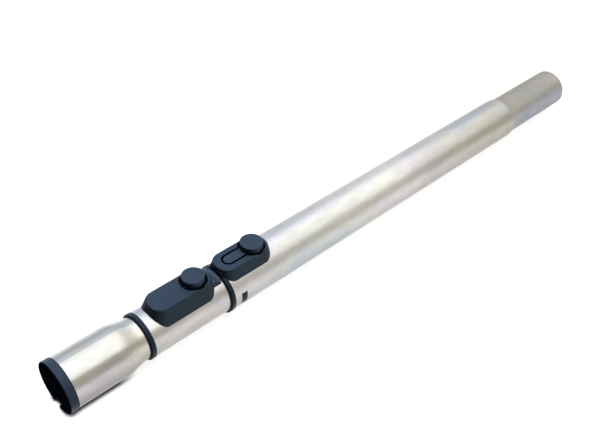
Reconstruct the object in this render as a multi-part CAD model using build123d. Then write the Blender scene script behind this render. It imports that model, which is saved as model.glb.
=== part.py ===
# Telescopic vacuum wand, shown pushed together.
#
# Three steel tubes slide in one another. The inner tube carries the socket for the handle, the
# middle tube carries a push button latch, and the outer tube carries a rocker latch and ends in
# the spigot for the floor tool. The X axis is the axis of the tubes and the origin is the centre
# of the socket's mouth, so the spigot points along +X. The latches stand up along +Z. All sizes
# are in millimetres.
from build123d import *
import os
from math import hypot

# Tubes
WALL = 0.6                  # sheet thickness of all three tubes
SPIGOT_OD = 35.0            # standard tool connection
OUTER_OD = 38.0
GUIDE_GAP = 0.7             # from a tube's bore to the outside of the tube that slides in it
RUNNING = 0.1               # radial clearance of a guide on the tube that it guides
SEAT = 0.04                 # clearance of a piece on the piece that it is fixed to
FREE = 0.3                  # clearance between pieces that move past each other

# Lengths along the wand
WAND_LENGTH = 567.0
SPIGOT_LENGTH = 78.0
SWAGE_LENGTH = 9.0          # cone from the outer tube down to the spigot
COLLAR_LENGTH = 4.0         # the ring that shows in front of a tube
COLLAR_SPACING = 69.5       # from the middle tube's collar to the outer tube's collar
MIDDLE_END_GAP = 10.0       # from the far end of the middle tube to the swage
INNER_END_GAP = 14.0        # from the far end of the inner tube to that of the middle tube

# Socket for the handle
SOCKET_PLAY = 0.1           # radial play of the handle's spigot, as wide as the tool spigot
LINER_WALL = 1.06
RIM_LENGTH = 6.0
RIM_PROUD = 0.4             # the rim above the bell
RIM_EDGE = 0.8
RIM_SEAM = 0.6              # open seam between the rim and the bell
BELL_SHOULDER = 18.8        # length of the curve from the bell down to the tube
NECK_CLEARANCE = 0.6        # from the end of the bell's shoulder to the collar
SOCKET_DEPTH = 43.0
SOCKET_STOP = 2.0           # thickness of the lip that stops the handle's spigot
NOTCH_WIDTH = 6.4
NOTCH_DEPTH = 2.2
NOTCH_CORNER = 1.4
NOTCH_ANGLE = 173.0         # around the mouth from the top, towards +Y

# Keyways pressed into the tops of the middle and inner tubes, with a row of latch pockets in each
MIDDLE_KEY_HALF = 4.5
MIDDLE_KEY_DEPTH = 2.3      # from the top of the tube to the keyway's floor
INNER_KEY_HALF = 5.5
INNER_KEY_DEPTH = 3.2
KEYWAY_LEAD = 2.0           # from the end of a keyway to the nearest key, at rest
KEYWAY_CORNER = 2.7         # radius of the corners at a keyway's start
KEY_SIDE_GAP = 0.3
POCKET_COUNT = 14           # one for each length that the wand can be set to
POCKET_PITCH = 20.0
POCKET_LENGTH = 6.0
POCKET_HALF = 3.2
POCKET_DEPTH = 0.9

# Collars, seals, bushes and the side catches
COLLAR_PROUD = 0.4          # a collar's ring above its own tube
COLLAR_BEVEL = 0.9
MIDDLE_SLEEVE = 12.0
OUTER_SLEEVE = 14.0
COLLAR_KEY_LENGTH = 2.6
SEAL_LENGTH = 1.8
SEAL_INSET = 1.1            # from the front of a collar to its seal
SEAL_DEPTH = 0.7            # of the seal's groove
BUSH_LENGTH = 15.0
BUSH_LIP = 1.6
CATCH_LENGTH = 4.6
CATCH_HEIGHT = 9.8
CATCH_FROM_COLLAR = 12.5    # from the front of the outer collar to the middle of the catches
CATCH_Z = -1.3
CATCH_RIB = 1.4
CATCH_INSET = 0.25          # face of a catch below the outside of the tube
WINDOW_GAP = 0.35           # play of a catch in its window

# Latch housings: near end and far end from the front of the tube's collar, half width and corner
# radius, of the outline at the foot and of the outline at the crown
POD_HEIGHT = 14.7           # from the foot's outline, inside the tube, to the crown
MIDDLE_FOOT = (7.0, 64.8, 14.7, 11.0)
MIDDLE_CROWN = (12.2, 62.5, 10.3, 9.0)
MIDDLE_CROWN_RISE = 6.0     # from the top of the tube
OUTER_FOOT = (-1.7, 49.4, 14.6, 11.0)
OUTER_CROWN = (1.5, 47.3, 10.3, 9.4)
OUTER_CROWN_RISE = 4.5
SIDE_WALL = 1.4
TOP_WALL = 1.7
CROWN_EDGE = 1.3

# Caps to press, on the button and the lever
CAP_WALL = 1.5
CAP_EDGE = 0.7
CAP_RIM = 0.9               # flat ring round the dish
CAP_DISH = 0.5              # depth of the dish for the thumb

# Push button latch, with stations from the front of the middle collar and rises from the top of
# the middle tube
BUTTON_STATION = 50.2
BUTTON_RADIUS = 8.6
BUTTON_RISE = 4.7           # from the crown to the button's top
BUTTON_GAP = 1.4
EAR_REACH = 0.6             # of the lugs that hold the button, under the crown
EAR_HALF = 3.0
EAR_THICKNESS = 0.6
PAWL_PIN_STATION = 33.6
PAWL_PIN_RISE = 2.2
PAWL_HALF = 2.6
PAWL_TOOTH_STATION = 21.6   # near face of the tooth
PAWL_TOOTH_LENGTH = 3.0
PAWL_THICKNESS = 1.3
PAWL_NOSE_RISE = 1.6        # top of the pawl over its tooth
PAWL_TAIL_STATION = 45.9
PAWL_TAIL_RISE = 5.7        # top of the tail, inside the button
PAWL_BEND_STATION = 40.1    # where the tail starts to rise
PAWL_HUB = 1.7
PAWL_SWING = 1.5            # how far the tooth's tip swings towards the near end
PRESSER_GAP = 0.2           # from the button's presser to the pawl's tail
PRESSER_LENGTH = 1.6

# Rocker latch, with stations from the front of the outer collar and rises from the top of the
# outer tube
PAD_STATION = 34.9
PAD_RADIUS = 8.9
PAD_RISE = 4.5              # from the crown to the pad's top
PAD_SINK = 0.6              # from the crown down to the pad's rim
PAD_GAP = 1.25
TONGUE_STATION = 8.7
TONGUE_HALF = 4.4
TONGUE_THICKNESS = 1.5
TONGUE_GAP = 0.8
TONGUE_FLAT = 0.2           # half width of the flat at the round end of the tongue
LEVER_PIN_STATION = 18.1
LEVER_PIN_RISE = 1.9
LEVER_HUB = 1.6
LEVER_RIB_HALF = 2.8
LEVER_TOOTH_INSET = 1.2     # from the tongue's end to the tooth
LEVER_TOOTH_LENGTH = 3.2
LEVER_SWING = 0.8

# Latch bases, pins, rivets and springs
BASE_PLATE = 0.8            # thickness over the top of the tube
BASE_GAP = 1.0              # from the inside of a housing to its base
BLOCK_WALL = 1.5            # of the key block, in front of and behind a tooth
LUG_THICKNESS = 1.5
LUG_LENGTH = 5.0
PIN_RADIUS = 0.9
PIN_PLAY = 0.05
TAIL_GAP = 1.5              # from the end of the tail to the outer collar
TAIL_HALF = 9.2
TAIL_RISE = 2.7             # thickness of the tail on the tube
FLARE_RISE = 2.2            # of the tail, where it leaves the housing
FLARE_LENGTH = 4.0
MOUTH_HALF = 7.0            # opening in the near end of the outer housing
MOUTH_DEPTH = 6.0
RIB_STEP = 1.2              # ribs across the lug behind that opening
RIB_DEPTH = 0.7
SPRING_RADIUS = 2.9
SPRING_WIRE = 0.6
SPRING_TURNS = 4
RIVET_RADIUS = 1.2
RIVET_HEAD_RADIUS = 2.0
RIVET_HEAD_HEIGHT = 0.6
RIVET_HEAD_EDGE = 0.45
RIVET_MARGIN = 3.0          # from the near end of the crown to the first rivet
LEVER_RIVET_GAP = 2.0       # from the lever's hub to the rivet behind it

# Radii that follow from the tubes
OUTER_R = OUTER_OD / 2
OUTER_BORE = OUTER_R - WALL
MIDDLE_R = OUTER_BORE - GUIDE_GAP
MIDDLE_BORE = MIDDLE_R - WALL
INNER_R = MIDDLE_BORE - GUIDE_GAP
INNER_BORE = INNER_R - WALL
SPIGOT_R = SPIGOT_OD / 2
SOCKET_R = SPIGOT_R + SOCKET_PLAY
BELL_BORE = SOCKET_R + LINER_WALL + SEAT
BELL_R = BELL_BORE + WALL

# Stations that follow from the others, from the socket's mouth
SHOULDER_X = WAND_LENGTH - SPIGOT_LENGTH - SWAGE_LENGTH
MIDDLE_END_X = SHOULDER_X - MIDDLE_END_GAP
INNER_END_X = MIDDLE_END_X - INNER_END_GAP
BELL_START_X = RIM_LENGTH + RIM_SEAM
BELL_END_X = SOCKET_DEPTH + SOCKET_STOP
NECK_X = BELL_END_X + BELL_SHOULDER
MIDDLE_COLLAR_X = NECK_X + NECK_CLEARANCE
MIDDLE_START_X = MIDDLE_COLLAR_X + COLLAR_LENGTH
OUTER_COLLAR_X = MIDDLE_COLLAR_X + COLLAR_SPACING
OUTER_START_X = OUTER_COLLAR_X + COLLAR_LENGTH
INNER_KEYWAY_X = MIDDLE_START_X + KEYWAY_LEAD
MIDDLE_KEYWAY_X = OUTER_START_X - KEYWAY_LEAD
CATCH_X = OUTER_COLLAR_X + CATCH_FROM_COLLAR
BUTTON_X = MIDDLE_COLLAR_X + BUTTON_STATION
EAR_RADIUS = BUTTON_RADIUS + BUTTON_GAP + EAR_REACH
PAWL_PIN_X = MIDDLE_COLLAR_X + PAWL_PIN_STATION
PAWL_TOOTH_X = MIDDLE_COLLAR_X + PAWL_TOOTH_STATION
PAWL_TAIL_X = MIDDLE_COLLAR_X + PAWL_TAIL_STATION
PAWL_BEND_X = MIDDLE_COLLAR_X + PAWL_BEND_STATION
TAIL_END_X = OUTER_COLLAR_X - TAIL_GAP
PAD_X = OUTER_COLLAR_X + PAD_STATION
TONGUE_X = OUTER_COLLAR_X + TONGUE_STATION
LEVER_PIN_X = OUTER_COLLAR_X + LEVER_PIN_STATION
LEVER_TOOTH_X = TONGUE_X + LEVER_TOOTH_INSET

# Heights that follow from the others: the keyways, the tips that ride over them, and the latches
MIDDLE_KEY_FLOOR = MIDDLE_R - MIDDLE_KEY_DEPTH
INNER_KEY_FLOOR = INNER_R - INNER_KEY_DEPTH
MIDDLE_TIP_Z = MIDDLE_KEY_FLOOR + FREE
INNER_TIP_Z = INNER_KEY_FLOOR + FREE
MIDDLE_BASE_Z = MIDDLE_R + BASE_PLATE
OUTER_BASE_Z = OUTER_R + BASE_PLATE
MIDDLE_CROWN_Z = MIDDLE_R + MIDDLE_CROWN_RISE
OUTER_CROWN_Z = OUTER_R + OUTER_CROWN_RISE
MIDDLE_CEILING = MIDDLE_CROWN_Z - TOP_WALL
OUTER_CEILING = OUTER_CROWN_Z - TOP_WALL
BUTTON_TOP_Z = MIDDLE_CROWN_Z + BUTTON_RISE
BUTTON_LOW_Z = MIDDLE_CEILING - FREE - EAR_THICKNESS
BUTTON_ROOF_Z = BUTTON_TOP_Z - CAP_DISH - CAP_WALL
PAWL_PIN_Z = MIDDLE_R + PAWL_PIN_RISE
PAWL_NOSE_Z = MIDDLE_R + PAWL_NOSE_RISE
PAWL_TAIL_Z = MIDDLE_R + PAWL_TAIL_RISE
PAD_TOP_Z = OUTER_CROWN_Z + PAD_RISE
PAD_BOTTOM_Z = OUTER_CROWN_Z - PAD_SINK
PAD_ROOF_Z = PAD_TOP_Z - CAP_DISH - CAP_WALL
LEVER_PIN_Z = OUTER_R + LEVER_PIN_RISE

# The two housings: station of the collar, outline at the foot, outline at the crown, crown height
MIDDLE_POD = (MIDDLE_COLLAR_X, MIDDLE_FOOT, MIDDLE_CROWN, MIDDLE_CROWN_Z)
OUTER_POD = (OUTER_COLLAR_X, OUTER_FOOT, OUTER_CROWN, OUTER_CROWN_Z)

# Key blocks, which guide a tooth through a tube into a keyway: near end, far end, half width
MIDDLE_BLOCK = (
    PAWL_TOOTH_X - PAWL_SWING - BLOCK_WALL,
    PAWL_TOOTH_X + PAWL_TOOTH_LENGTH + FREE + BLOCK_WALL,
    INNER_KEY_HALF - KEY_SIDE_GAP,
)
OUTER_BLOCK = (
    LEVER_TOOTH_X - LEVER_SWING - BLOCK_WALL,
    LEVER_TOOTH_X + LEVER_TOOTH_LENGTH + FREE + BLOCK_WALL,
    MIDDLE_KEY_HALF - KEY_SIDE_GAP,
)
FAR = 80.0                  # beyond everything across the wand


def across(x):
    """The plane square to the wand at a station, with its own X to +Y and its own Y up."""
    return Plane(origin=(x, 0, 0), x_dir=(0, 1, 0), z_dir=(1, 0, 0))


def rod(radius, x_start, x_end):
    """A solid cylinder on the wand's axis."""
    return extrude(across(x_start) * Circle(radius), amount=x_end - x_start)


def ring(outside, bore, x_start, x_end):
    """A plain sleeve on the wand's axis."""
    return rod(outside, x_start, x_end) - rod(bore, x_start, x_end)


def block(x_start, x_end, half_width, z_low, z_high):
    """A box between two stations and two heights, centred on the wand."""
    size = (x_end - x_start, 2 * half_width, z_high - z_low)
    return Pos((x_start + x_end) / 2, 0, (z_low + z_high) / 2) * Box(*size)


def post(radius, x, z_low, z_high):
    """An upright cylinder."""
    return Pos(x, 0, (z_low + z_high) / 2) * Cylinder(radius, z_high - z_low)


def cross_rod(radius, x, z, half_length):
    """A cylinder across the wand."""
    return Pos(x, 0, z) * Rot(90, 0, 0) * Cylinder(radius, 2 * half_length)


# Tubes


def keyway(x_start, x_end, half_width, floor):
    """The space over the flat floor of a keyway, rounded off at its start."""
    space = block(x_start, x_end, half_width, floor, FAR)
    start = space.edges().filter_by(Axis.Z).sort_by(Axis.X)[:2]
    return fillet(start, KEYWAY_CORNER)


def pressed(body, bore, x_start, x_end, half_width, floor, tooth_x):
    """A tube with a keyway and its latch pockets pressed in, its wall as thick there as all round."""
    dent = keyway(x_start, x_end + WALL, half_width, floor)
    bulge = keyway(x_start - WALL, x_end + WALL, half_width + WALL, floor - WALL)
    for step in range(POCKET_COUNT):
        near = tooth_x + step * POCKET_PITCH - POCKET_LENGTH / 2
        far = near + POCKET_LENGTH
        dent += block(near, far, POCKET_HALF, floor - POCKET_DEPTH, floor + WALL)
        bulge += block(near - WALL, far + WALL, POCKET_HALF + WALL, floor - POCKET_DEPTH - WALL, floor)
    return (body - dent) - (bore - bulge)


def bell(bell_radius, tube_radius):
    """A solid bell that narrows to the tube in one smooth double curve."""
    with BuildSketch(Plane.XZ) as section:
        with BuildLine():
            Polyline((NECK_X, tube_radius), (NECK_X, 0), (BELL_START_X, 0), (BELL_START_X, bell_radius),
                     (BELL_END_X, bell_radius))
            Spline((BELL_END_X, bell_radius), (NECK_X, tube_radius), tangents=((1, 0), (1, 0)))
        make_face()
    return revolve(section.sketch, Axis.X, 360)


def make_inner_tube():
    """The thin tube, expanded at its near end into the bell that holds the socket liner."""
    body = bell(BELL_R, INNER_R) + rod(INNER_R, NECK_X, INNER_END_X)
    bore = bell(BELL_BORE, INNER_BORE) + rod(INNER_BORE, NECK_X, INNER_END_X)
    tooth_x = PAWL_TOOTH_X + PAWL_TOOTH_LENGTH / 2
    return pressed(body, bore, INNER_KEYWAY_X, INNER_END_X, INNER_KEY_HALF, INNER_KEY_FLOOR, tooth_x)


def make_middle_tube():
    """The middle tube, with a window for the key block and holes for the rivets."""
    body = rod(MIDDLE_R, MIDDLE_START_X, MIDDLE_END_X)
    bore = rod(MIDDLE_BORE, MIDDLE_START_X, MIDDLE_END_X)
    tooth_x = LEVER_TOOTH_X + LEVER_TOOTH_LENGTH / 2
    tube = pressed(body, bore, MIDDLE_KEYWAY_X, MIDDLE_END_X, MIDDLE_KEY_HALF, MIDDLE_KEY_FLOOR, tooth_x)
    tube -= window(MIDDLE_BLOCK)
    for x in middle_rivet_stations():
        tube -= rivet_hole(x)
    return tube


def make_outer_tube():
    """The outer tube, swaged down to the spigot, with windows for the latch and the catches."""
    swage_end = SHOULDER_X + SWAGE_LENGTH
    with BuildSketch(Plane.XZ) as section:
        with BuildLine():
            Polyline(
                (OUTER_START_X, OUTER_R),
                (SHOULDER_X, OUTER_R),
                (swage_end, SPIGOT_R),
                (WAND_LENGTH, SPIGOT_R),
                (WAND_LENGTH, SPIGOT_R - WALL),
                (swage_end, SPIGOT_R - WALL),
                (SHOULDER_X, OUTER_BORE),
                (OUTER_START_X, OUTER_BORE),
                close=True,
            )
        make_face()
    tube = revolve(section.sketch, Axis.X, 360)
    tube -= window(OUTER_BLOCK)
    for x in outer_rivet_stations():
        tube -= rivet_hole(x)
    return tube - catch_space(WINDOW_GAP)


def window(key_block):
    """The opening in the top of a tube for a key block."""
    near, far, half = key_block
    return block(near - SEAT, far + SEAT, half + SEAT, 0, FAR)


def catch_space(play):
    """The space of the two side catches, one on each side of the wand."""
    return block(
        CATCH_X - CATCH_LENGTH / 2 - play,
        CATCH_X + CATCH_LENGTH / 2 + play,
        FAR,
        CATCH_Z - CATCH_HEIGHT / 2 - play,
        CATCH_Z + CATCH_HEIGHT / 2 + play,
    )


# Collars, seals, bushes and the socket liner


def collar(own_r, own_bore, slider_r, front_x, sleeve):
    """A bevelled ring in front of a tube, with a sleeve that guides the tube that slides in it."""
    start_x = front_x + COLLAR_LENGTH
    end_x = start_x + sleeve
    bore = slider_r + RUNNING
    seal_x = front_x + SEAL_INSET
    face = rod(own_r + COLLAR_PROUD, front_x, start_x)
    face = chamfer(face.edges().group_by(Axis.X)[0], COLLAR_BEVEL)
    solid = face + rod(own_bore - SEAT, start_x, end_x)
    solid -= rod(bore, front_x, end_x)
    return solid - rod(bore + SEAL_DEPTH, seal_x, seal_x + SEAL_LENGTH)


def make_middle_collar():
    """The collar in front of the middle tube, with the key that runs in the inner tube."""
    solid = collar(MIDDLE_R, MIDDLE_BORE, INNER_R, MIDDLE_COLLAR_X, MIDDLE_SLEEVE)
    end_x = MIDDLE_START_X + MIDDLE_SLEEVE
    start_x = end_x - COLLAR_KEY_LENGTH
    key = block(start_x, end_x, INNER_KEY_HALF - KEY_SIDE_GAP, INNER_TIP_Z, MIDDLE_R)
    return solid + (key & rod(MIDDLE_BORE - SEAT, start_x, end_x))


def make_outer_collar():
    """The collar in front of the outer tube, with its key, two side catches and ribbed lug."""
    solid = collar(OUTER_R, OUTER_BORE, MIDDLE_R, OUTER_COLLAR_X, OUTER_SLEEVE)
    key_end = OUTER_BLOCK[0] - SEAT
    slot_half = OUTER_BLOCK[2] + SEAT
    solid -= block(key_end, OUTER_START_X + OUTER_SLEEVE + WALL, slot_half, 0, FAR)
    key = block(OUTER_START_X, key_end, MIDDLE_KEY_HALF - KEY_SIDE_GAP, MIDDLE_TIP_Z, OUTER_R)
    solid += key & rod(OUTER_BORE - SEAT, OUTER_START_X, key_end)
    start_x = CATCH_X - CATCH_LENGTH / 2
    catch = ring(OUTER_R - CATCH_INSET, MIDDLE_R + RUNNING, start_x, start_x + CATCH_LENGTH)
    rib = ring(OUTER_R, MIDDLE_R + RUNNING, CATCH_X - CATCH_RIB / 2, CATCH_X + CATCH_RIB / 2)
    solid += (catch + rib) & catch_space(0)
    return solid + ribbed_lug()


def ribbed_lug():
    """The lug on top of the outer collar, which shows in the mouth of the outer housing."""
    near = OUTER_COLLAR_X + COLLAR_BEVEL
    top = OUTER_CEILING - FREE
    lug = block(near, OUTER_START_X, MOUTH_HALF - FREE, 0, top)
    lug -= rod(OUTER_R, near - WALL, OUTER_START_X + WALL)
    for groove in range(int((OUTER_START_X - near) // RIB_STEP)):
        start_x = near + RIB_STEP * (groove + 0.5)
        lug -= block(start_x, start_x + RIB_STEP / 2, FAR, top - RIB_DEPTH, FAR)
    return lug


def seal(slider_r, collar_x):
    """A felt ring in its groove in a collar."""
    outside = slider_r + RUNNING + SEAL_DEPTH - SEAT
    start_x = collar_x + SEAL_INSET + SEAT
    return ring(outside, slider_r + RUNNING / 2, start_x, start_x + SEAL_LENGTH - 2 * SEAT)


def make_middle_seal():
    """The felt ring on the inner tube."""
    return seal(INNER_R, MIDDLE_COLLAR_X)


def make_outer_seal():
    """The felt ring on the middle tube."""
    return seal(MIDDLE_R, OUTER_COLLAR_X)


def bush(own_r, guide_bore, end_x):
    """A guide on the far end of a tube, with a lip over the tube's edge."""
    outside = guide_bore - RUNNING
    sleeve = ring(outside, own_r + SEAT, end_x - BUSH_LENGTH, end_x + SEAT)
    return sleeve + ring(outside, own_r - WALL, end_x + SEAT, end_x + BUSH_LIP)


def make_middle_guide_bush():
    """The guide that runs in the outer tube."""
    return bush(MIDDLE_R, OUTER_BORE, MIDDLE_END_X)


def make_inner_guide_bush():
    """The guide that runs in the middle tube, open at the top where that tube's keyway passes."""
    passage = MIDDLE_KEY_HALF + WALL + FREE
    start_x = INNER_END_X - BUSH_LENGTH - WALL
    gap = block(start_x, INNER_END_X + BUSH_LIP + WALL, passage, 0, FAR)
    return bush(INNER_R, MIDDLE_BORE, INNER_END_X) - gap


def make_socket_liner():
    """The plastic liner in the bell: a rim with a notch, a bore for the handle and a stop."""
    rim = rod(BELL_R + RIM_PROUD, 0, RIM_LENGTH)
    rim = fillet(rim.edges().group_by(Axis.X)[0], RIM_EDGE)
    solid = rim + rod(BELL_BORE - SEAT, RIM_LENGTH, BELL_END_X)
    solid -= rod(SOCKET_R, 0, SOCKET_DEPTH) + rod(INNER_BORE, SOCKET_DEPTH, BELL_END_X)
    notch = block(-NOTCH_DEPTH, NOTCH_DEPTH, NOTCH_WIDTH / 2, SOCKET_R / 2, FAR)
    notch = fillet(notch.edges().filter_by(Axis.Z).sort_by(Axis.X)[2:], NOTCH_CORNER)
    return solid - Rot(-NOTCH_ANGLE, 0, 0) * notch


# Latch housings


def outline(pod, z, inset=0.0):
    """A housing's rounded outline at one height, moved in from its outside by the inset."""
    collar_x, foot, crown, crown_z = pod
    share = 1 - (crown_z - z) / POD_HEIGHT
    near, far, half, corner = (low + (high - low) * share for low, high in zip(foot, crown))
    shape = RectangleRounded(far - near - 2 * inset, 2 * (half - inset), corner - inset)
    return Pos(collar_x + (near + far) / 2, 0, z) * shape


def pod_solid(pod, top, inset=0.0):
    """The solid between a housing's foot and a height, moved in by the inset."""
    foot_z = pod[-1] - POD_HEIGHT
    return loft([outline(pod, foot_z, inset), outline(pod, top, inset)])


def housing(pod, tube_r):
    """A moulded cover on a tube: walls that lean in, a flat crown with a soft edge, open below."""
    crown_z = pod[-1]
    outside = pod_solid(pod, crown_z)
    outside = fillet(outside.faces().sort_by(Axis.Z)[-1].edges(), CROWN_EDGE)
    hollow = pod_solid(pod, crown_z - TOP_WALL, SIDE_WALL)
    return outside - hollow - rod(tube_r + SEAT, 0, WAND_LENGTH)


def make_middle_latch_housing():
    """The cover over the push button latch, cut away at its far end for the base's tail."""
    cover = housing(MIDDLE_POD, MIDDLE_R)
    cover -= post(BUTTON_RADIUS + BUTTON_GAP, BUTTON_X, MIDDLE_R, FAR)
    return cover - tail_band(SEAT)


def make_outer_latch_housing():
    """The cover over the rocker latch, with its keyhole opening and the mouth at its near end."""
    cover = housing(OUTER_POD, OUTER_R)
    cover -= rod(OUTER_R + COLLAR_PROUD + SEAT, OUTER_COLLAR_X - FREE, OUTER_START_X + SEAT)
    cover -= post(PAD_RADIUS + PAD_GAP, PAD_X, OUTER_R, FAR)
    cover -= tongue_slab(TONGUE_GAP, OUTER_R, FAR)
    mouth_x = OUTER_COLLAR_X + OUTER_FOOT[0]
    return cover - block(mouth_x, mouth_x + MOUTH_DEPTH, MOUTH_HALF, 0, OUTER_CEILING)


def tongue_slab(growth, z_low, z_high):
    """The upright slab with the outline of the lever's tongue, grown all round."""
    half = TONGUE_HALF + growth
    slab = block(TONGUE_X - growth, PAD_X, half, z_low, z_high)
    start = slab.edges().filter_by(Axis.Z).sort_by(Axis.X)[:2]
    return fillet(start, half - TONGUE_FLAT)


# Latch bases, with their pins and rivets


def base_plate(pod, top):
    """A flat topped plate that follows the inside of its housing, a clearance in from it."""
    plan = outline(pod, top, SIDE_WALL + BASE_GAP)
    return extrude(plan, amount=-top)


def guide_block(key_block, tip_z, top):
    """The block that reaches through the tube's window into the keyway of the sliding tube."""
    near, far, half = key_block
    return block(near, far, half, tip_z, top)


def lugs(x, gap_half, z_low, z_high):
    """A pair of upright lugs that hold a cross pin."""
    outer = block(x - LUG_LENGTH / 2, x + LUG_LENGTH / 2, gap_half + LUG_THICKNESS, z_low, z_high)
    return outer - block(x - LUG_LENGTH, x + LUG_LENGTH, gap_half, 0, FAR)


def tail_band(growth):
    """The curved band of the middle base that leaves its housing over the tube."""
    band = rod(MIDDLE_R + TAIL_RISE + growth, BUTTON_X, TAIL_END_X)
    band &= block(BUTTON_X, TAIL_END_X, TAIL_HALF + growth, 0, FAR)
    ear_corner = hypot(EAR_RADIUS, EAR_HALF)
    return band - post(ear_corner + FREE, BUTTON_X, MIDDLE_BASE_Z, FAR)


def tail_flare():
    """The curve that sweeps up from the tail to the outside of the housing's far end."""
    top = MIDDLE_R + TAIL_RISE
    start_x = BUTTON_X + BUTTON_RADIUS
    end_x = MIDDLE_COLLAR_X + MIDDLE_FOOT[1] + FLARE_LENGTH / 2
    with BuildSketch(Plane.XZ) as section:
        with BuildLine():
            Polyline((end_x, top), (end_x, MIDDLE_R), (start_x, MIDDLE_R), (start_x, top + FLARE_RISE),
                     (end_x - FLARE_LENGTH, top + FLARE_RISE))
            Spline((end_x - FLARE_LENGTH, top + FLARE_RISE), (end_x, top), tangents=((1, -2), (1, 0)))
        make_face()
    swept = revolve(section.sketch, Axis.X, 360)
    swept &= block(start_x, end_x, TAIL_HALF, 0, FAR)
    return swept - pod_solid(MIDDLE_POD, MIDDLE_CROWN_Z, -SEAT)


def make_middle_latch_base():
    """The saddle under the push button latch, with the pin's lugs, the key block and the tail."""
    gap_half = PAWL_HALF + FREE
    base = base_plate(MIDDLE_POD, MIDDLE_BASE_Z)
    base += lugs(PAWL_PIN_X, gap_half, MIDDLE_R - BASE_PLATE, PAWL_PIN_Z + PAWL_HUB)
    base += tail_band(0) + tail_flare()
    base -= rod(MIDDLE_R + SEAT, 0, WAND_LENGTH)
    base += guide_block(MIDDLE_BLOCK, INNER_TIP_Z, MIDDLE_BASE_Z)
    well_near = PAWL_TOOTH_X - PAWL_SWING
    tooth_far = PAWL_TOOTH_X + PAWL_TOOTH_LENGTH + FREE
    base -= block(well_near, tooth_far, gap_half, 0, FAR)
    base -= block(well_near, PAWL_TAIL_X + FREE, gap_half, MIDDLE_R + SEAT, FAR)
    base -= cross_rod(PIN_RADIUS + SEAT, PAWL_PIN_X, PAWL_PIN_Z, FAR)
    for x in middle_rivet_stations():
        base -= rivet_hole(x)
    return base


def make_outer_latch_base():
    """The saddle under the rocker latch: the pin lies in open lugs, under the housing's crown."""
    tooth_half = LEVER_RIB_HALF + FREE
    base = base_plate(OUTER_POD, OUTER_BASE_Z)
    base -= block(0, OUTER_START_X + SEAT, FAR, 0, FAR)
    base += lugs(LEVER_PIN_X, TONGUE_HALF + TONGUE_GAP, OUTER_R - BASE_PLATE, OUTER_CEILING - SEAT)
    base -= rod(OUTER_R + SEAT, 0, WAND_LENGTH)
    base += guide_block(OUTER_BLOCK, MIDDLE_TIP_Z, OUTER_BASE_Z)
    tooth_near = LEVER_TOOTH_X - LEVER_SWING
    tooth_far = LEVER_TOOTH_X + LEVER_TOOTH_LENGTH + FREE
    base -= block(tooth_near, tooth_far, tooth_half, 0, FAR)
    hub_far = LEVER_PIN_X + LEVER_HUB + FREE
    base -= block(tooth_near, hub_far, tooth_half, OUTER_R + SEAT, FAR)
    seat_radius = PIN_RADIUS + SEAT
    base -= cross_rod(seat_radius, LEVER_PIN_X, LEVER_PIN_Z, FAR)
    base -= block(LEVER_PIN_X - seat_radius, LEVER_PIN_X + seat_radius, FAR, LEVER_PIN_Z, FAR)
    for x in outer_rivet_stations():
        base -= rivet_hole(x)
    return base


def middle_rivet_stations():
    """Where the middle base is riveted: at its near end and inside the button's spring."""
    return MIDDLE_COLLAR_X + MIDDLE_CROWN[0] + RIVET_MARGIN, BUTTON_X


def outer_rivet_stations():
    """Where the outer base is riveted: behind the lever's hub and inside the pad's spring."""
    return LEVER_PIN_X + LEVER_HUB + LEVER_RIVET_GAP + RIVET_HEAD_RADIUS, PAD_X


def rivet_hole(x):
    """The hole for one rivet."""
    return post(RIVET_RADIUS + SEAT, x, 0, FAR)


def rivets(stations, tube_bore, base_top):
    """A row of round headed rivets through a base and the top of its tube."""
    group = []
    for x in stations:
        shank = post(RIVET_RADIUS, x, tube_bore, base_top)
        head = post(RIVET_HEAD_RADIUS, x, base_top, base_top + RIVET_HEAD_HEIGHT)
        head = fillet(head.edges().group_by(Axis.Z)[-1], RIVET_HEAD_EDGE)
        group.append(shank + head)
    return Compound(children=group)


def make_middle_base_rivets():
    """The rivets of the middle base."""
    return rivets(middle_rivet_stations(), MIDDLE_BORE, MIDDLE_BASE_Z)


def make_outer_base_rivets():
    """The rivets of the outer base."""
    return rivets(outer_rivet_stations(), OUTER_BORE, OUTER_BASE_Z)


def make_middle_pawl_pin():
    """The steel pin of the pawl."""
    return cross_rod(PIN_RADIUS, PAWL_PIN_X, PAWL_PIN_Z, PAWL_HALF + FREE + LUG_THICKNESS)


def make_outer_lever_pin():
    """The steel pin of the rocker lever."""
    return cross_rod(PIN_RADIUS, LEVER_PIN_X, LEVER_PIN_Z, TONGUE_HALF + TONGUE_GAP + LUG_THICKNESS)


# Moving pieces of the latches


def cap(radius, x, z_low, z_high):
    """A hollow push cap with a soft edge and a shallow dish in its top."""
    dish = radius - CAP_EDGE - CAP_RIM
    dish_radius = (dish ** 2 + CAP_DISH ** 2) / (2 * CAP_DISH)
    solid = post(radius, x, z_low, z_high)
    solid = fillet(solid.edges().group_by(Axis.Z)[-1], CAP_EDGE)
    solid -= Pos(x, 0, z_high - CAP_DISH + dish_radius) * Sphere(dish_radius)
    return solid - post(radius - CAP_WALL, x, z_low, z_high - CAP_DISH - CAP_WALL)


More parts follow.
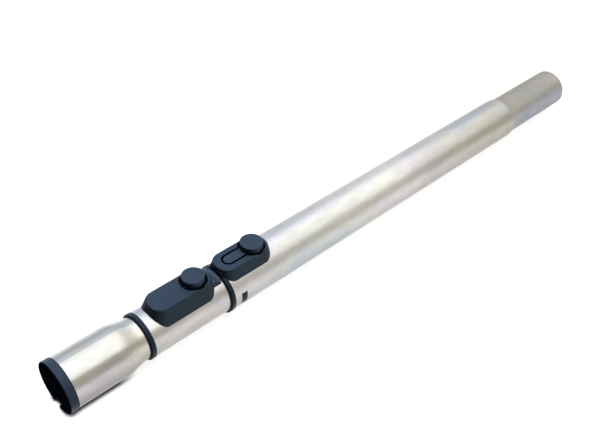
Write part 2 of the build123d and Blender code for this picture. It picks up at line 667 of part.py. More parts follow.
def make_middle_release_button():
    """The push button, with two ears under the crown and a presser over the pawl's tail."""
    button = cap(BUTTON_RADIUS, BUTTON_X, BUTTON_LOW_Z, BUTTON_TOP_Z)
    ear_top = BUTTON_LOW_Z + EAR_THICKNESS
    ears = block(BUTTON_X - EAR_RADIUS, BUTTON_X + EAR_RADIUS, EAR_HALF, BUTTON_LOW_Z, ear_top)
    button += ears - post(BUTTON_RADIUS - CAP_WALL, BUTTON_X, 0, FAR)
    passage_z = PAWL_TAIL_Z + FREE
    passage_half = PAWL_HALF + FREE
    button -= block(BUTTON_X - EAR_RADIUS, PAWL_TAIL_X, passage_half, 0, passage_z)
    presser_low = PAWL_TAIL_Z + PRESSER_GAP
    presser_x = PAWL_TAIL_X - PRESSER_LENGTH
    presser = block(presser_x, PAWL_TAIL_X, PAWL_HALF, presser_low, BUTTON_ROOF_Z + SEAT)
    return button + presser


def make_middle_pawl():
    """A two armed pawl: the button presses its tail down and its tooth lifts out of its pocket."""
    half_thick = PAWL_THICKNESS / 2
    tooth_end = PAWL_TOOTH_X + PAWL_TOOTH_LENGTH
    with BuildSketch(Plane.XZ) as section:
        with BuildLine():
            Polyline(
                (PAWL_TOOTH_X, INNER_TIP_Z),
                (tooth_end, INNER_TIP_Z),
                (tooth_end, PAWL_NOSE_Z - PAWL_THICKNESS),
                (PAWL_PIN_X, PAWL_PIN_Z - half_thick),
                (PAWL_BEND_X, PAWL_PIN_Z - half_thick),
                (PAWL_TAIL_X, PAWL_TAIL_Z - PAWL_THICKNESS),
                (PAWL_TAIL_X, PAWL_TAIL_Z),
                (PAWL_BEND_X, PAWL_PIN_Z + half_thick),
                (PAWL_PIN_X, PAWL_PIN_Z + half_thick),
                (tooth_end, PAWL_NOSE_Z),
                (PAWL_TOOTH_X, PAWL_NOSE_Z),
                close=True,
            )
        make_face()
    pawl = extrude(section.sketch, amount=PAWL_HALF, both=True)
    pawl += cross_rod(PAWL_HUB, PAWL_PIN_X, PAWL_PIN_Z, PAWL_HALF)
    return pawl - cross_rod(PIN_RADIUS + PIN_PLAY, PAWL_PIN_X, PAWL_PIN_Z, FAR)


def make_outer_release_lever():
    """The rocker: a tongue flush with the crown, a round pad to press and a tooth below."""
    tongue_low = OUTER_CROWN_Z - TONGUE_THICKNESS
    rib_low = OUTER_BASE_Z + FREE
    pad_post = post(PAD_RADIUS - CAP_WALL, PAD_X, 0, FAR)
    lever = cap(PAD_RADIUS, PAD_X, PAD_BOTTOM_Z, PAD_TOP_Z)
    lever += tongue_slab(0, tongue_low, OUTER_CROWN_Z) - pad_post
    lever += block(LEVER_TOOTH_X, LEVER_PIN_X, LEVER_RIB_HALF, rib_low, tongue_low)
    tooth_end = LEVER_TOOTH_X + LEVER_TOOTH_LENGTH
    lever += block(LEVER_TOOTH_X, tooth_end, LEVER_RIB_HALF, MIDDLE_TIP_Z, tongue_low)
    lever += cross_rod(LEVER_HUB, LEVER_PIN_X, LEVER_PIN_Z, LEVER_RIB_HALF)
    return lever - cross_rod(PIN_RADIUS + PIN_PLAY, LEVER_PIN_X, LEVER_PIN_Z, FAR)


def coil_spring(x, z_low, z_high):
    """A round wire compression spring that stands upright."""
    rise = z_high - z_low - SPRING_WIRE
    path = Helix(rise / SPRING_TURNS, rise, SPRING_RADIUS)
    wire = Plane(origin=path @ 0, z_dir=path % 0) * Circle(SPRING_WIRE / 2)
    return Pos(x, 0, z_low + SPRING_WIRE / 2) * sweep(wire, path=path, is_frenet=True)


def make_middle_button_spring():
    """The spring between the middle base and the roof of the push button."""
    return coil_spring(BUTTON_X, MIDDLE_BASE_Z + SEAT, BUTTON_ROOF_Z - SEAT)


def make_outer_lever_spring():
    """The spring between the outer base and the roof of the lever's pad."""
    return coil_spring(PAD_X, OUTER_BASE_Z + SEAT, PAD_ROOF_Z - SEAT)


PIECES = {
    "inner_tube": make_inner_tube,
    "socket_liner": make_socket_liner,
    "inner_guide_bush": make_inner_guide_bush,
    "middle_tube": make_middle_tube,
    "middle_collar": make_middle_collar,
    "middle_seal": make_middle_seal,
    "middle_guide_bush": make_middle_guide_bush,
    "middle_latch_base": make_middle_latch_base,
    "middle_latch_housing": make_middle_latch_housing,
    "middle_base_rivets": make_middle_base_rivets,
    "middle_release_button": make_middle_release_button,
    "middle_button_spring": make_middle_button_spring,
    "middle_pawl": make_middle_pawl,
    "middle_pawl_pin": make_middle_pawl_pin,
    "outer_tube": make_outer_tube,
    "outer_collar": make_outer_collar,
    "outer_seal": make_outer_seal,
    "outer_latch_base": make_outer_latch_base,
    "outer_latch_housing": make_outer_latch_housing,
    "outer_base_rivets": make_outer_base_rivets,
    "outer_release_lever": make_outer_release_lever,
    "outer_lever_pin": make_outer_lever_pin,
    "outer_lever_spring": make_outer_lever_spring,
}

os.makedirs("parts", exist_ok=True)
for name, make in PIECES.items():
    export_step(make(), f"parts/{name}.step")
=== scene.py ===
# Looks of the telescopic vacuum wand: the finish of each piece, coils in the place of the two solid
# springs, the studio and the camera.
# Lengths are in metres, in the same frame as the solids: +X along the wand, +Z up.
import bpy
from collections import namedtuple
from math import cos, pi, radians, sin
from mathutils import Matrix, Vector


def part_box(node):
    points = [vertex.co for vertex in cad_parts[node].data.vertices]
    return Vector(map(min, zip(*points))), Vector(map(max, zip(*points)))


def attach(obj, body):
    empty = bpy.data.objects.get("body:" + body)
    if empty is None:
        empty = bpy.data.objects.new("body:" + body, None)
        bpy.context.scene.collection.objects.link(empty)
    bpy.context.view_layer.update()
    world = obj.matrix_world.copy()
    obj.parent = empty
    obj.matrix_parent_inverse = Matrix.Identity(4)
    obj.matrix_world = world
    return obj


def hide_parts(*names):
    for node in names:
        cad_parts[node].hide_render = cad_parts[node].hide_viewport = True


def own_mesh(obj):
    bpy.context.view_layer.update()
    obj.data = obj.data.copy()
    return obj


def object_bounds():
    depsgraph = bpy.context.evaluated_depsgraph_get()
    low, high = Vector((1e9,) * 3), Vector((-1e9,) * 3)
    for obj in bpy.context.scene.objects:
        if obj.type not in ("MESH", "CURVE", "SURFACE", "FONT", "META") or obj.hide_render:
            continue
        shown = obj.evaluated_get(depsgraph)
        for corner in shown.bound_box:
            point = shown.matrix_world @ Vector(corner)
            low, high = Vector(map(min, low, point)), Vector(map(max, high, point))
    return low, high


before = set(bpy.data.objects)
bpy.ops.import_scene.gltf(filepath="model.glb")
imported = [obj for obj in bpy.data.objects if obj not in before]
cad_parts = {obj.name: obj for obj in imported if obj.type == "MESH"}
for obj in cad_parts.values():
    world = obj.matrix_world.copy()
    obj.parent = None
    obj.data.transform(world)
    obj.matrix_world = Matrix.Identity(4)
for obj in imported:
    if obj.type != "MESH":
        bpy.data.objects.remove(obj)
cad_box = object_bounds()

# Camera, found by fitting the outlines of the wand in a frame of 600 by 447 pixels
CAMERA_PLACE = (-0.121578, -0.334683, 0.439186)
CAMERA_FORWARD = (0.534, 0.525, -0.663)
CAMERA_RIGHT = (0.726, -0.686, 0.041)
CAMERA_LENS = 49.109
CAMERA_NEAREST = 0.01

# Studio. The sky is a colour for each angle in degrees from overhead towards the camera, and the
# panel a share of its full light for each angle and for each direction's part along the wand.
FLOOR_SIZE = 8.0
FLOOR_COLOR = (0.30, 0.30, 0.30)
FLOOR_ROUGHNESS = 0.8
FLOOR_GLOW = 0.78
SKY_STRENGTH = 1.3
SKY = [
    (-90, (0.62, 0.64, 0.70)),
    (-60, (0.72, 0.80, 0.90)),
    (-30, (0.91, 0.97, 1.03)),
    (0, (0.98, 1.00, 1.00)),
    (38, (0.77, 0.76, 0.72)),
    (56, (0.55, 0.53, 0.45)),
    (72, (0.52, 0.50, 0.43)),
    (90, (0.72, 0.70, 0.68)),
]
PANEL_STRENGTH = 1.25
PANEL_SPAN = [(-62, 0.0), (-40, 0.35), (-14, 1.0), (30, 1.0), (42, 0.85), (50, 0.06), (80, 0.0)]
PANEL_REACH = [(-1.0, 0.6), (0.0, 1.0), (0.45, 1.0), (0.56, 0.35), (0.66, 0.0)]

# Contact line, the painted contact shadow on the floor right under the bell: how far the floor
# looks for the wand, how open it is where it is darkest and where it is fully lit, and the stations
# over which the line ends
CONTACT_SHADOW_REACH = 0.0056
CONTACT_SHADOW_OPEN = (0.5, 0.75)
CONTACT_SHADOW_END = (0.040, 0.056)

# Shader nodes: the sockets of a Mix node that are for colours, the part of a noise's range that is
# used, and how far a surface's roughness swings with it
MIX_INPUTS = (0, 6, 7)
MIX_OUTPUT = 2
NOISE_RANGE = (0.3, 0.7)
WIDE_NOISE_RANGE = (0.2, 0.8)
ROUGHNESS_SWING = (-0.04, 0.05)
SHELTER_SAMPLES = 8

# A seam is the gap around a button, a pad or a tongue, with painted shade in it. As seen from
# above, it lies at a reach around the line between two stations, and nothing over its top is
# painted dark.
# The edges of its painted shade are blurred.
Seam = namedtuple("Seam", "start end reach half_width top")
SEAM_BLUR_INWARDS = 0.0001
SEAM_BLUR_OUTWARDS = 0.0002


class Nodes:
    """A tree of shader nodes."""

    def __init__(self, tree):
        self.tree = tree

    def add(self, kind, **settings):
        """A new node with some of its properties set."""
        node = self.tree.nodes.new(kind)
        for key, value in settings.items():
            setattr(node, key, value)
        return node

    def put(self, value, socket):
        """Links another node's output to the socket, or sets the socket to a constant."""
        if isinstance(value, bpy.types.NodeSocket):
            self.tree.links.new(value, socket)
        elif socket.type == "RGBA":
            socket.default_value = (*value, 1.0)
        else:
            socket.default_value = value

    def feed(self, node, **values):
        """Puts values in the node's inputs by name, with an underscore for each space."""
        for key, value in values.items():
            self.put(value, node.inputs[key.replace("_", " ")])
        return node

    def compute(self, operation, *numbers):
        """A sum, product, comparison or other function of numbers."""
        node = self.add("ShaderNodeMath", operation=operation)
        for number, socket in zip(numbers, node.inputs):
            self.put(number, socket)
        return node.outputs["Value"]

    def split(self, vector):
        """The X, Y and Z of a vector, by name."""
        return self.feed(self.add("ShaderNodeSeparateXYZ"), Vector=vector).outputs

    def spread(self, source, low, high, start=0.0, end=1.0):
        """The source's range from low to high laid out from start to end."""
        node = self.add("ShaderNodeMapRange")
        self.feed(node, Value=source, From_Min=low, From_Max=high, To_Min=start, To_Max=end)
        return node.outputs["Result"]

    def ramp(self, source, stops):
        """A colour for each value of the source, blended between stops."""
        ramp = self.add("ShaderNodeValToRGB")
        elements = ramp.color_ramp.elements
        while len(elements) < len(stops):
            elements.new(0.5)
        for element, (position, color) in zip(elements, stops):
            element.position = position
            element.color = (*color, 1.0)
        return self.feed(ramp, Fac=source).outputs["Color"]

    def mix(self, share, first, second, blend="MIX"):
        """A blend of two colours."""
        node = self.add("ShaderNodeMix", data_type="RGBA", blend_type=blend)
        for value, place in zip((share, first, second), MIX_INPUTS):
            self.put(value, node.inputs[place])
        return node.outputs[MIX_OUTPUT]

    def multiply(self, first, second):
        """The product of two colours."""
        return self.mix(1.0, first, second, "MULTIPLY")

    def shade(self, color, share):
        """A share of the colour."""
        grey = self.feed(self.add("ShaderNodeCombineColor"), Red=share, Green=share, Blue=share)
        return self.multiply(color, grey.outputs["Color"])


class Finish(Nodes):
    """A procedural material on the coordinates of the solids."""

    def __init__(self, name):
        self.material = bpy.data.materials.new(name)
        self.material.use_nodes = True
        super().__init__(self.material.node_tree)
        self.shader = self.tree.nodes["Principled BSDF"]
        self.place = self.add("ShaderNodeTexCoord").outputs["Object"]

    def dress(self, **values):
        """Puts values in the shader's inputs."""
        self.feed(self.shader, **values)

    def along(self):
        """The station along the wand."""
        return self.split(self.place)["X"]

    def across(self):
        """The distance from the wand's axis."""
        flat = self.add("ShaderNodeVectorMath", operation="MULTIPLY")
        self.put(self.place, flat.inputs[0])
        self.put((0, 1, 1), flat.inputs[1])
        length = self.add("ShaderNodeVectorMath", operation="LENGTH")
        self.put(flat.outputs["Vector"], length.inputs[0])
        return length.outputs["Value"]

    def facing(self, axis):
        """The surface's direction along one axis, from -1 to 1."""
        return self.split(self.add("ShaderNodeNewGeometry").outputs["Normal"])[axis]

    def shelter(self, reach):
        """How open the surface is, from 0 in a crevice to 1 in the open."""
        node = self.add("ShaderNodeAmbientOcclusion", samples=SHELTER_SAMPLES)
        return self.feed(node, Distance=reach).outputs["AO"]

    def noise(self, scale, detail, roughness, stretch=(1, 1, 1)):
        """Noise with its cells stretched by the scale of its coordinates."""
        mapping = self.feed(self.add("ShaderNodeMapping"), Vector=self.place, Scale=stretch)
        noise = self.add("ShaderNodeTexNoise")
        self.feed(noise, Vector=mapping.outputs["Vector"], Scale=scale)
        self.feed(noise, Detail=detail, Roughness=roughness)
        return noise.outputs["Fac"]

    def vary(self, noise, middle, swing, noise_range=NOISE_RANGE):
        """A value that swings to both sides of its middle with a noise."""
        low, high = swing
        return self.spread(noise, *noise_range, middle + low, middle + high)

    def bump(self, height, distance, strength=1.0):
        """A bumpy normal from a height."""
        node = self.add("ShaderNodeBump")
        self.feed(node, Height=height, Distance=distance, Strength=strength)
        return node.outputs["Normal"]

    def away_from(self, seam):
        """The mask of a seam's painted shade: nought on the seam, and one beside it and over its
        top.
        """
        place = self.split(self.place)
        nearest = self.compute("MAXIMUM", place["X"], seam.start)
        nearest = self.compute("MINIMUM", nearest, seam.end)
        run = self.compute("ABSOLUTE", self.compute("SUBTRACT", place["X"], nearest))
        side = self.compute("ABSOLUTE", place["Y"])
        squares = [self.compute("POWER", part, 2.0) for part in (run, side)]
        distance = self.compute("SQRT", self.compute("ADD", *squares))
        off = self.compute("ABSOLUTE", self.compute("SUBTRACT", distance, seam.reach))
        dark_to = seam.half_width - SEAM_BLUR_INWARDS
        light_from = seam.half_width + SEAM_BLUR_OUTWARDS
        beside = self.spread(off, dark_to, light_from)
        return self.compute("MAXIMUM", beside, self.compute("GREATER_THAN", place["Z"], seam.top))


def scaled(color, share):
    """The colour, lighter or darker."""
    return tuple(share * part for part in color)


# Finishes. A noise is its scale, detail, roughness and stretch. A painted shade goes from one
# direction or openness of the surface to another, and from one share of the colour to another.

# Satin tube, ground around its girth, which is a quarter turn from its length
GRINDING_PULL = 0.5
GRINDING_TURN = 0.25
TINT_NOISE = (26.0, 2.0, 0.5, (0.35, 1, 1))
TINTS = [
    (0.32, (0.90, 0.95, 1.05)),
    (0.44, (0.99, 1.00, 1.01)),
    (0.54, (1.06, 1.02, 0.93)),
    (0.66, (1.03, 0.965, 0.965)),
]
BLOTCH_NOISE = (150.0, 4.0, 0.6, (0.4, 1, 1))
BLOTCH_SWING = (-0.09, 0.06)
PATCH_NOISE = (40.0, 3.0, 0.6, (0.3, 1, 1))
GRINDING_NOISE = (1.0, 4.0, 0.7, (2600.0, 60.0, 60.0))
GRINDING_SWING = (-0.01, 0.01)
GRINDING_DEPTH = 0.0000006
GRINDING_BUMP = 0.3
SWAGE_INSET = 0.0858
SWAGE_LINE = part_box("outer_tube")[1].x - SWAGE_INSET
SWAGE_EDGE = 0.0008
SWAGE_ROUGHNESS = 0.16
# Painted reflection colour and painted shade on the swaged end, by the way its surface faces: a
# little bluer facing sideways and down, warmer and darker towards the top.
SWAGE_PAINTED_REFLECTION = [
    (0.05, (0.98, 0.97, 1.07)),
    (0.42, (1.00, 0.98, 1.01)),
    (0.70, (0.94, 0.91, 0.80)),
    (0.95, (0.79, 0.74, 0.67)),
]


def brushed_tube(name, color, roughness, tones, under, swaged=False):
    """Satin stainless tube with faint heat tints and handling marks, and painted shade that darkens
    it downwards. The swaged end is rougher, and has painted reflection colour and painted shade by
    the
    way it faces: darker and warmer on top, and a little bluer lower down."""
    finish = Finish(name)
    tangent = finish.add("ShaderNodeTangent", direction_type="RADIAL", axis="X")
    finish.dress(Metallic=1.0, Tangent=tangent.outputs["Tangent"])
    finish.dress(Anisotropic=GRINDING_PULL, Anisotropic_Rotation=GRINDING_TURN)

    base = finish.multiply(color, finish.ramp(finish.noise(*TINT_NOISE), TINTS))
    base = finish.shade(base, finish.vary(finish.noise(*BLOTCH_NOISE), 1.0, BLOTCH_SWING))
    base = finish.multiply(base, finish.ramp(finish.along(), tones))
    # Painted shade: the tube is darker on its underside.
    base = finish.shade(base, finish.spread(finish.facing("Z"), *under))
    grinding = finish.noise(*GRINDING_NOISE)
    patches = finish.vary(finish.noise(*PATCH_NOISE), roughness, ROUGHNESS_SWING)
    rough = finish.compute("ADD", patches, finish.vary(grinding, 0.0, GRINDING_SWING))
    if swaged:
        worked = finish.spread(finish.along(), SWAGE_LINE - SWAGE_EDGE, SWAGE_LINE + SWAGE_EDGE)
        # The swaged end gets the painted reflection colour and painted shade.
        painted_swage_reflection = finish.multiply(base, finish.ramp(finish.facing("Z"), SWAGE_PAINTED_REFLECTION))
        base = finish.mix(worked, base, painted_swage_reflection)
        rough = finish.compute("ADD", rough, finish.compute("MULTIPLY", worked, SWAGE_ROUGHNESS))
    normal = finish.bump(grinding, GRINDING_DEPTH, GRINDING_BUMP)
    finish.dress(Base_Color=base, Roughness=rough, Normal=normal)
    return finish.material


# Moulded plastic
PLASTIC_TINT = (0.55, 0.78, 1.0)
PLASTIC_GLOSS = 0.2
CLOUD_NOISE = (45.0, 3.0, 0.5)
CLOUD_TONES = (0.90, 1.10)
SIDE_PAINTED_SHADE = (0.25, 0.95, 0.42, 1.0)
NEAR_END_PAINTED_SHADE = (-0.8, -0.2, 0.25, 1.0)
CREVICE_REACH = 0.0025
CREVICE_PAINTED_SHADE = (0.4, 0.9, 0.05, 1.0)
SHINE_NOISE = (220.0, 3.0, 0.6)
GRAIN_NOISE = (2600.0, 2.0, 0.5)
GRAIN_DEPTH = 0.00003
GRAIN_BUMP = 0.5
# Painted shade in the socket's bore and on the very edge of its mouth: the bore's radius, how far
# the edge reaches, and the share of the colour that is left.
LINER_RADIUS = 0.0178
MOUTH_EDGE = 0.0004
INSIDE_PAINTED_SHADE = 0.08


def moulded_plastic(name, color, roughness, painted_shade_inside=False, seams=()):
    """Matte moulded plastic with a fine spark eroded grain. It has painted shade: darker on its
    flanks and on faces that point towards the near end, and darker and less glossy in its crevices
    and seams.
    With the inside switch it also has painted shade in the socket's bore and on the very edge of
    its mouth, with no gloss there."""
    finish = Finish(name)
    dark, light = (scaled(color, tone) for tone in CLOUD_TONES)
    base = finish.mix(finish.spread(finish.noise(*CLOUD_NOISE), *NOISE_RANGE), dark, light)
    # Painted shade: darker on faces that point towards the near end and on the flanks below the
    # top.
    near_end = finish.spread(finish.facing("X"), *NEAR_END_PAINTED_SHADE)
    sides = finish.compute("MULTIPLY", finish.spread(finish.facing("Z"), *SIDE_PAINTED_SHADE), near_end)
    # Painted shade in crevices, where the surface is sheltered.
    crevices = finish.spread(finish.shelter(CREVICE_REACH), *CREVICE_PAINTED_SHADE)
    # Painted shade in the seams around the button, the pad and the tongue.
    for seam in seams:
        crevices = finish.compute("MULTIPLY", crevices, finish.away_from(seam))
    base = finish.shade(base, finish.compute("MULTIPLY", sides, crevices))
    # The painted shade in crevices, seams and on faces that point towards the near end takes away
    # gloss too.
    gloss = finish.compute("MULTIPLY", crevices, near_end)
    gloss = finish.compute("MULTIPLY", gloss, PLASTIC_GLOSS)
    # Painted shade in the socket's bore and on the edge of its mouth, with the gloss taken away.
    if painted_shade_inside:
        bore = finish.compute("LESS_THAN", finish.across(), LINER_RADIUS)
        mouth = finish.compute("LESS_THAN", finish.along(), MOUTH_EDGE)
        inside = finish.compute("MAXIMUM", bore, mouth)
        base = finish.mix(inside, base, scaled(color, INSIDE_PAINTED_SHADE))
        gloss = finish.compute("MULTIPLY", gloss, finish.compute("SUBTRACT", 1.0, inside))
    rough = finish.vary(finish.noise(*SHINE_NOISE), roughness, ROUGHNESS_SWING)
    grain = finish.bump(finish.noise(*GRAIN_NOISE), GRAIN_DEPTH, GRAIN_BUMP)
    finish.dress(Specular_Tint=PLASTIC_TINT, Specular_IOR_Level=gloss)
    finish.dress(Base_Color=base, Roughness=rough, Normal=grain)
    return finish.material


# Felt
FELT_NOISE = (3200.0, 4.0, 0.7)
FELT_SHEEN = 0.3
FELT_GAPS = 0.6
FELT_ROUGHNESS = (0.85, 1.0)
FELT_DEPTH = 0.0001


def felt(name, color):
    """Dense felt, with dark gaps between its fibres."""
    finish = Finish(name)
    fibres = finish.noise(*FELT_NOISE)
    base = finish.mix(fibres, scaled(color, FELT_GAPS), color)
    rough = finish.spread(fibres, *WIDE_NOISE_RANGE, *FELT_ROUGHNESS)
    finish.dress(Sheen_Weight=FELT_SHEEN, Base_Color=base, Roughness=rough)
    finish.dress(Normal=finish.bump(fibres, FELT_DEPTH))
    return finish.material


# Bright steel
STEEL_NOISE = (900.0, 3.0, 0.6)
STEEL_LINES = 0.85
STEEL_SWING = (-0.05, 0.08)
STEEL_DEPTH = 0.000005
STEEL_BUMP = 0.5


def plain_steel(name, color, roughness):
    """Bright steel of the pins, rivets and springs, with fine darker lines."""
    finish = Finish(name)
    lines = finish.noise(*STEEL_NOISE)
    base = finish.mix(lines, scaled(color, STEEL_LINES), color)
    rough = finish.vary(lines, roughness, STEEL_SWING, WIDE_NOISE_RANGE)
    normal = finish.bump(lines, STEEL_DEPTH, STEEL_BUMP)
    finish.dress(Metallic=1.0, Base_Color=base, Roughness=rough, Normal=normal)
    return finish.material


# Colours of the tubes, the painted shade that darkens each downwards, and its tones along the wand
INNER_STEEL = (0.42, 0.425, 0.43)
MIDDLE_STEEL = (0.475, 0.48, 0.49)
OUTER_STEEL = (0.505, 0.505, 0.50)
UNDER_PAINTED_SHADE = (-0.1, 0.25, 0.85, 1.0)
DEEP_UNDER_PAINTED_SHADE = (-0.34, 0.27, 0.50, 1.0)
# The inner tube past the bell's shoulder is painted lighter and warmer: painted light for brighter
# reflections there.
INNER_PAST_BELL_PAINTED_LIGHT = [(0.040, (1.0, 1.0, 1.0)), (0.060, (1.16, 1.14, 1.07))]
EVEN_TONES = [(0.0, (1.0, 1.0, 1.0)), (1.0, (1.0, 1.0, 1.0))]
OUTER_TONES = [
    (0.20, (0.99, 1.02, 1.05)),
    (0.26, (1.05, 1.07, 1.10)),
    (0.32, (1.12, 1.13, 1.14)),
    (0.37, (0.93, 0.93, 0.93)),
    (0.43, (0.86, 0.84, 0.81)),
    (0.47, (0.80, 0.78, 0.75)),
]

# Colours of the small pieces, and the roughness of most plastic ones
SLATE = (0.0170, 0.0270, 0.0480)
PRESSED_SLATE = scaled(SLATE, 1.12)
COLLAR_SLATE = scaled(SLATE, 0.42)
TAIL_SLATE = scaled(SLATE, 1.6)
BLACK = (0.012, 0.013, 0.016)
FELT_BLACK = (0.012, 0.012, 0.012)
BRIGHT = (0.66, 0.66, 0.66)
MATTE = 0.45

# Places of the seams, from the pieces that they lie around and the housings that they lie in
BUTTON_GAP = 0.0014
PAD_GAP = 0.0012
TONGUE_GAP = 0.0008
TONGUE_HALF = 0.0044
BUTTON_SEAM_RISE = 0.0005
LEVER_SEAM_RISE = 0.0001


def middle_station(node):
    """The station of the middle of a node."""
    low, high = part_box(node)
    return (low.x + high.x) / 2


button_station = middle_station("middle_button_spring")
pad_station = middle_station("outer_lever_spring")
button_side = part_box("middle_release_button")[1].y
lever_low, lever_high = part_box("outer_release_lever")
button_seam_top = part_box("middle_latch_housing")[1].z + BUTTON_SEAM_RISE
lever_seam_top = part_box("outer_latch_housing")[1].z + LEVER_SEAM_RISE
button_seam = Seam(
    start=button_station, end=button_station, reach=button_side + BUTTON_GAP / 2,
    half_width=0.0010, top=button_seam_top)
pad_seam = Seam(
    start=pad_station, end=pad_station, reach=lever_high.y + PAD_GAP / 2,
    half_width=0.0009, top=lever_seam_top)
tongue_seam = Seam(
    start=lever_low.x + TONGUE_HALF, end=pad_station, reach=TONGUE_HALF + TONGUE_GAP / 2,
    half_width=0.0008, top=lever_seam_top)

inner_steel = brushed_tube(
    "satin steel of the inner tube", INNER_STEEL, roughness=0.23, tones=INNER_PAST_BELL_PAINTED_LIGHT,
    under=DEEP_UNDER_PAINTED_SHADE)
middle_steel = brushed_tube(
    "satin steel of the middle tube", MIDDLE_STEEL, roughness=0.34, tones=EVEN_TONES,
    under=UNDER_PAINTED_SHADE)
outer_steel = brushed_tube(
    "satin steel of the outer tube", OUTER_STEEL, roughness=0.42, tones=OUTER_TONES,
    under=UNDER_PAINTED_SHADE, swaged=True)
slate_plastic = moulded_plastic("slate plastic", PRESSED_SLATE, MATTE)
button_cover = moulded_plastic(
    "slate plastic of the button's cover", SLATE, MATTE, seams=[button_seam])
lever_plastic = moulded_plastic(
    "slate plastic of the lever", PRESSED_SLATE, MATTE, seams=[tongue_seam])
lever_cover = moulded_plastic(
    "slate plastic of the lever's cover", SLATE, MATTE, seams=[tongue_seam, pad_seam])
collar_plastic = moulded_plastic("slate plastic of the collars", COLLAR_SLATE, roughness=0.4)
tail_plastic = moulded_plastic("slate plastic of the base", TAIL_SLATE, roughness=0.42)
liner_plastic = moulded_plastic("slate plastic liner", SLATE, MATTE, painted_shade_inside=True)
black_plastic = moulded_plastic("black plastic", BLACK, MATTE)
black_felt = felt("black felt", FELT_BLACK)
bright_steel = plain_steel("bright steel", BRIGHT, roughness=0.28)

FINISHES = {
    "inner_tube": inner_steel,
    "middle_tube": middle_steel,
    "outer_tube": outer_steel,
    "socket_liner": liner_plastic,
    "middle_collar": collar_plastic,
    "outer_collar": collar_plastic,
    "middle_latch_base": tail_plastic,
    "middle_latch_housing": button_cover,
    "middle_release_button": slate_plastic,
    "outer_latch_housing": lever_cover,
    "outer_release_lever": lever_plastic,
    "outer_latch_base": black_plastic,
    "middle_pawl": black_plastic,
    "middle_guide_bush": black_plastic,
    "inner_guide_bush": black_plastic,
    "middle_seal": black_felt,
    "outer_seal": black_felt,
    "middle_base_rivets": bright_steel,
    "middle_pawl_pin": bright_steel,
    "middle_button_spring": bright_steel,
    "outer_base_rivets": bright_steel,
    "outer_lever_pin": bright_steel,
    "outer_lever_spring": bright_steel,
}

for name, finish in FINISHES.items():
    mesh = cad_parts[name].data
    mesh.materials.clear()
    mesh.materials.append(finish)

# Springs: the solid that each coil replaces, the body that it stands on, the joint that presses it,
# and how much it shortens at that joint's limit
SPRINGS = [
    ("middle_button_spring", "middle", "button_press", 0.0025),
    ("outer_lever_spring", "outer", "lever_rock", 0.0024),
]
SPRING_WIRE = 0.0006
SPRING_TURNS = 4
SPRING_STEPS = 128
SPRING_SIDES = 10


def coil_mesh(name, low, high):
    """A round wire wound up between two corners of a box, with a flat end at each side."""
    foot = Vector(((low.x + high.x) / 2, (low.y + high.y) / 2, low.z + SPRING_WIRE / 2))
    radius = (high.x - low.x - SPRING_WIRE) / 2
    rise = high.z - low.z - SPRING_WIRE
    up = Vector((0.0, 0.0, 1.0))
    corners = []
    for step in range(SPRING_STEPS + 1):
        share = step / SPRING_STEPS
        turn = 2 * pi * SPRING_TURNS * share
        outward = Vector((cos(turn), sin(turn), 0.0))
        centre = foot + radius * outward + share * rise * up
        for side in range(SPRING_SIDES):
            angle = 2 * pi * side / SPRING_SIDES
            corners.append(centre + SPRING_WIRE / 2 * (cos(angle) * outward + sin(angle) * up))
    faces = []
    for start in range(0, SPRING_STEPS * SPRING_SIDES, SPRING_SIDES):
        for side in range(SPRING_SIDES):
            this, following = start + side, start + (side + 1) % SPRING_SIDES
            faces.append((this, this + SPRING_SIDES, following + SPRING_SIDES, following))
    last = SPRING_STEPS * SPRING_SIDES
    faces.append(tuple(range(SPRING_SIDES)))
    faces.append(tuple(reversed(range(last, last + SPRING_SIDES))))
    mesh = bpy.data.meshes.new(name)
    mesh.from_pydata(corners, [], faces)
    for face in mesh.polygons:
        face.use_smooth = len(face.vertices) == 4
    return mesh


def make_spring(node, body, joint, travel):
    """A coil in the place of the solid one, parented to its body."""
    low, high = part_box(node)
    name = node + "_coil"
    mesh = coil_mesh(name, low, high)
    mesh.materials.append(bright_steel)
    coil = bpy.data.objects.new(name, mesh)
    bpy.context.scene.collection.objects.link(coil)
    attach(coil, body)
    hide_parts(node)
    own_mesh(coil)


for spring in SPRINGS:
    make_spring(*spring)

# Studio


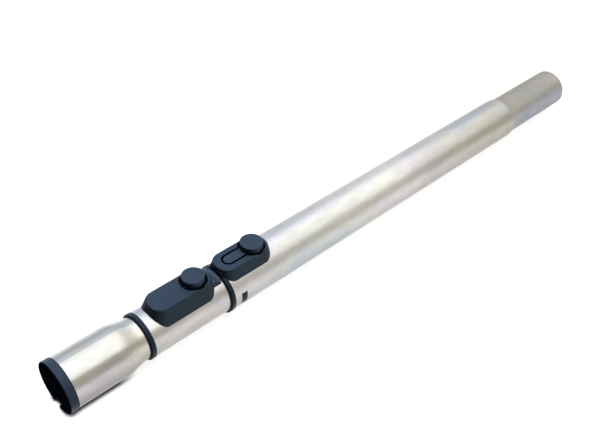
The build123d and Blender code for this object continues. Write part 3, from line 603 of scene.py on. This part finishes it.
def make_floor():
    """A plain pale floor under the wand, with a painted contact shadow where the bell touches it.
    """
    half = FLOOR_SIZE / 2
    low = cad_box[0][2]
    mesh = bpy.data.meshes.new("floor")
    corners = [(-half, -half, low), (half, -half, low), (half, half, low), (-half, half, low)]
    mesh.from_pydata(corners, [], [(0, 1, 2, 3)])
    floor = bpy.data.objects.new("floor", mesh)
    bpy.context.scene.collection.objects.link(floor)
    finish = Finish("floor")
    # Painted contact shadow: the floor's colour and glow go dark where the wand shelters it, near
    # the bell only.
    open_floor = finish.spread(finish.shelter(CONTACT_SHADOW_REACH), *CONTACT_SHADOW_OPEN)
    lit = finish.compute("MAXIMUM", open_floor, finish.spread(finish.along(), *CONTACT_SHADOW_END))
    base = finish.mix(lit, (0.0, 0.0, 0.0), FLOOR_COLOR)
    glow = finish.compute("MULTIPLY", lit, FLOOR_GLOW)
    finish.dress(Base_Color=base, Roughness=FLOOR_ROUGHNESS)
    finish.dress(Emission_Color=(1.0, 1.0, 1.0), Emission_Strength=glow)
    mesh.materials.append(finish.material)


def laid_out(stops, first, last):
    """The stops of a ramp, with their places given on a scale from first to last."""
    return [((place - first) / (last - first), color) for place, color in stops]


def greys(shares):
    """The stops of a ramp of greys."""
    return [(place, (share, share, share)) for place, share in shares]


def make_world():
    """Soft light from all round, cool behind the wand and dim and warm in front, and a broad panel
    overhead that fades out towards the far end."""
    world = bpy.data.worlds.new("studio")
    bpy.context.scene.world = world
    world.use_nodes = True
    nodes = Nodes(world.node_tree)
    direction = nodes.split(nodes.add("ShaderNodeTexCoord").outputs["Generated"])
    angle = nodes.compute("ARCTAN2", direction["Y"], direction["Z"])
    over = nodes.spread(angle, radians(90), radians(-90))
    span = nodes.ramp(over, laid_out(greys(PANEL_SPAN), -90, 90))
    reach = nodes.ramp(nodes.spread(direction["X"], -1, 1), laid_out(greys(PANEL_REACH), -1, 1))
    sky = nodes.tree.nodes["Background"]
    nodes.feed(sky, Color=nodes.ramp(over, laid_out(SKY, -90, 90)), Strength=SKY_STRENGTH)
    panel = nodes.add("ShaderNodeBackground")
    nodes.feed(panel, Color=nodes.multiply(span, reach), Strength=PANEL_STRENGTH)
    both = nodes.add("ShaderNodeAddShader")
    nodes.put(sky.outputs["Background"], both.inputs[0])
    nodes.put(panel.outputs["Background"], both.inputs[1])
    nodes.feed(nodes.tree.nodes["World Output"], Surface=both.outputs["Shader"])


def make_camera():
    """The camera of the photograph."""
    data = bpy.data.cameras.new("camera")
    data.lens = CAMERA_LENS
    data.clip_start = CAMERA_NEAREST
    camera = bpy.data.objects.new("camera", data)
    forward = Vector(CAMERA_FORWARD).normalized()
    right = Vector(CAMERA_RIGHT)
    right = (right - right.dot(forward) * forward).normalized()
    turn = Matrix((right, right.cross(forward), -forward)).transposed().to_4x4()
    camera.matrix_world = Matrix.Translation(CAMERA_PLACE) @ turn
    bpy.context.scene.collection.objects.link(camera)
    bpy.context.scene.camera = camera


make_floor()
make_world()
make_camera()
bpy.context.scene.view_settings.view_transform = "Standard"
